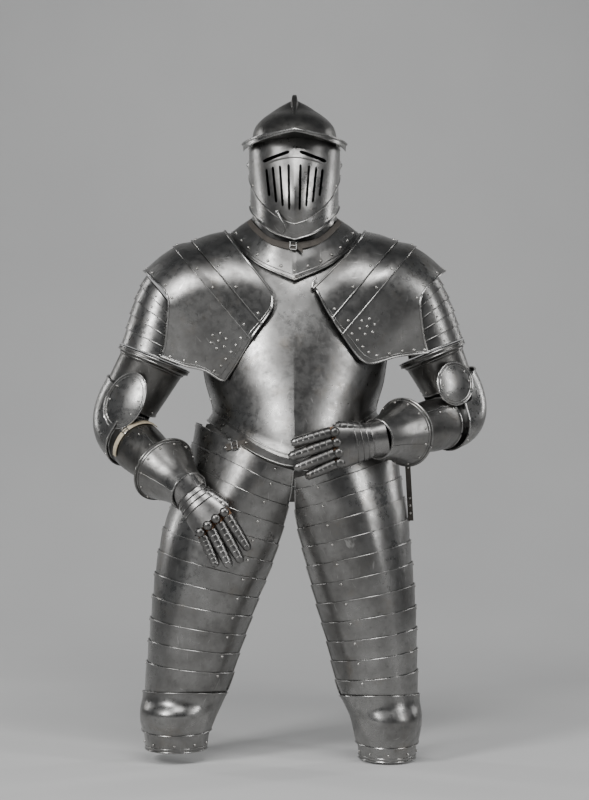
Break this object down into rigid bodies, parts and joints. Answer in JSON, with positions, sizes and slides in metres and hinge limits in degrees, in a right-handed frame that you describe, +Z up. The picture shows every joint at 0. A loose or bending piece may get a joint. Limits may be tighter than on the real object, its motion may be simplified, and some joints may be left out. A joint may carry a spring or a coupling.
{
  "type": "suit of plate armour",
  "caption": "Articulated plate armour from close helmet to knees, standing in its worn pose, hollow, with a lifting visor.",
  "frame": {"origin": "base of the neck, in the middle between the shoulders that carry the weight", "axes": "+Z up, -Y to the front of the armour, -X to the wearer's right"},
  "size_m": [0.8134, 0.4049, 1.3621],
  "materials": {
    "plate_steel": "polished, worn",
    "dark_steel": "dark, worn",
    "gauntlet_steel": "dark, bright edges",
    "brown_leather": "dull",
    "buff_leather": "dull"
  },
  "bodies": {
    "armour": {"helmet_skull": "dark_steel", "helmet_bevor": "plate_steel", "helmet_neck_strap": "brown_leather", "gorget_front": "plate_steel", "gorget_back": "plate_steel", "breastplate": "plate_steel", "backplate": "plate_steel", "culet": "dark_steel", "cuff_strap": "buff_leather", "pauldron_inner_lame_right": "plate_steel", "pauldron_middle_lame_right": "plate_steel", "pauldron_plate_right": "plate_steel", "arm_lames_right": "plate_steel", "upper_cannon_right": "dark_steel", "couter_right": "plate_steel", "lower_cannon_right": "dark_steel", "gauntlet_cuff_right": "plate_steel", "gauntlet_hand_right": "gauntlet_steel", "tasset_lame_right_1": "plate_steel", "tasset_lame_right_2": "plate_steel", "tasset_lame_right_3": "plate_steel", "tasset_lame_right_4": "plate_steel", "tasset_lame_right_5": "plate_steel", "tasset_lame_right_6": "plate_steel", "tasset_lame_right_7": "plate_steel", "tasset_lame_right_8": "plate_steel", "tasset_lame_right_9": "plate_steel", "tasset_lame_right_10": "plate_steel", "tasset_lame_right_11": "plate_steel", "tasset_lame_right_12": "plate_steel", "poleyn_right": "plate_steel", "poleyn_lame_right": "plate_steel", "pauldron_inner_lame_left": "plate_steel", "pauldron_middle_lame_left": "plate_steel", "pauldron_plate_left": "plate_steel", "arm_lames_left": "plate_steel", "upper_cannon_left": "dark_steel", "couter_left": "plate_steel", "lower_cannon_left": "dark_steel", "gauntlet_cuff_left": "plate_steel", "gauntlet_hand_left": "gauntlet_steel", "tasset_lame_left_1": "plate_steel", "tasset_lame_left_2": "plate_steel", "tasset_lame_left_3": "plate_steel", "tasset_lame_left_4": "plate_steel", "tasset_lame_left_5": "plate_steel", "tasset_lame_left_6": "plate_steel", "tasset_lame_left_7": "plate_steel", "tasset_lame_left_8": "plate_steel", "tasset_lame_left_9": "plate_steel", "tasset_lame_left_10": "plate_steel", "tasset_lame_left_11": "plate_steel", "tasset_lame_left_12": "plate_steel", "poleyn_left": "plate_steel", "poleyn_lame_left": "plate_steel"},
    "visor": {"helmet_visor": "plate_steel", "helmet_peak": "dark_steel", "visor_hook": "dark_steel"}
  },
  "joints": [
    {"name": "visor_lift", "type": "hinge", "parent": "armour", "child": "visor", "pos_m": [0, 0, 0.155], "axis": [-1, 0, 0], "range_deg": [0, 40]}
  ]
}
